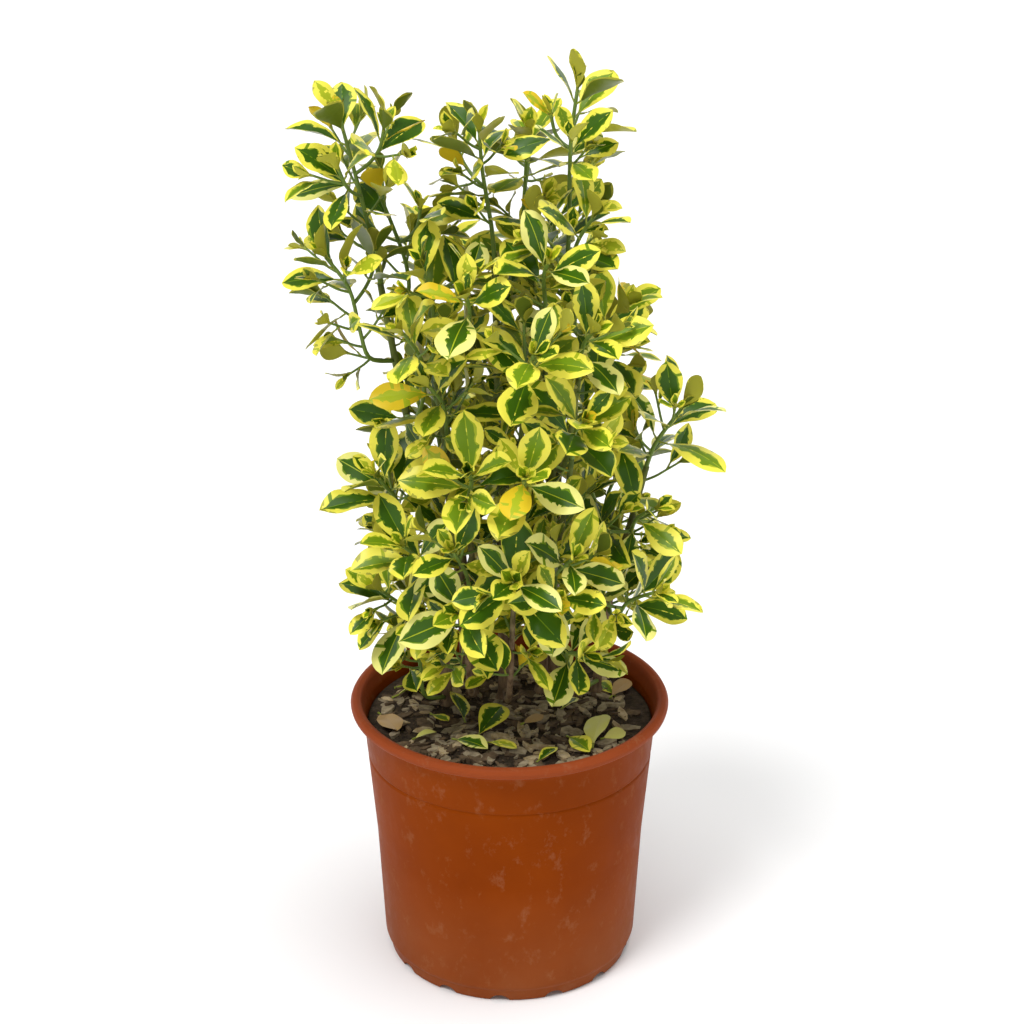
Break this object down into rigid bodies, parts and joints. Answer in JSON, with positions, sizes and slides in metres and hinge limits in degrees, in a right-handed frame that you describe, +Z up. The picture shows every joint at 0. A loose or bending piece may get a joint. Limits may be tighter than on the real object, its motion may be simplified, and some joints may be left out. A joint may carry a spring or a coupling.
{
  "type": "potted variegated japanese euonymus shrub",
  "caption": "Bushy evergreen shrub with glossy green leaves edged in lemon and cream, growing from several upright stems in a round terracotta-coloured plastic nursery pot.",
  "frame": {"origin": "on the ground under the middle of the pot, at the centre of the round pad on its underside", "axes": "+Z up; -Y towards the viewer of the picture, +X to the right in it"},
  "size_m": [0.3362, 0.318, 0.7573],
  "materials": {
    "pot_plastic": "moulded, slight sheen, dusty scuffs",
    "soil": "dark potting mix with bark chips",
    "bark": "thin grey-brown bark, green when young",
    "foliage": "glossy leaves, green centre, lemon to cream edge"
  },
  "bodies": {
    "root": {"pot": "pot_plastic", "soil": "soil", "stem_left": "bark", "stem_centre": "bark", "stem_centre_left": "bark", "stem_centre_right": "bark", "stem_right": "bark", "stem_back_left": "bark", "stem_back_right": "bark", "bough_upper_left": "bark", "bough_upper_right": "bark", "bough_upper_front": "bark", "bough_right_front": "bark", "bough_middle_right": "bark", "bough_middle_front": "bark", "bough_middle_left": "bark", "bough_outer_left": "bark", "bough_low_front": "bark", "bough_low_left": "bark", "leaves_arm_top": "foliage", "leaves_arm_inner": "foliage", "leaves_arm_outer": "foliage", "leaves_shoulder_left": "foliage", "leaves_left_high": "foliage", "leaves_upper_left": "foliage", "leaves_left_inner": "foliage", "leaves_top_left": "foliage", "leaves_top_right": "foliage", "leaves_top_middle": "foliage", "leaves_side_right": "foliage", "leaves_upper_right": "foliage", "leaves_shoulder_right": "foliage", "leaves_upper_front": "foliage", "leaves_right_front": "foliage", "leaves_middle_right": "foliage", "leaves_middle_front": "foliage", "leaves_middle_left": "foliage", "leaves_outer_left": "foliage", "leaves_lower_left": "foliage", "leaves_front_left": "foliage", "leaves_front": "foliage", "leaves_front_right": "foliage", "leaves_low_left": "foliage", "leaves_low_outer": "foliage", "leaves_low_right": "foliage", "leaves_low_front": "foliage", "leaves_right_tip": "foliage", "leaves_right_low": "foliage", "leaves_back_top_left": "foliage", "leaves_back_top_right": "foliage", "leaves_back_left": "foliage", "leaves_back_middle": "foliage", "leaves_back_right": "foliage", "leaves_back_lower_left": "foliage", "leaves_back_lower_right": "foliage", "leaves_back_outer_right": "foliage", "leaves_back_low_left": "foliage", "leaves_back_low": "foliage"}
  },
  "joints": []
}
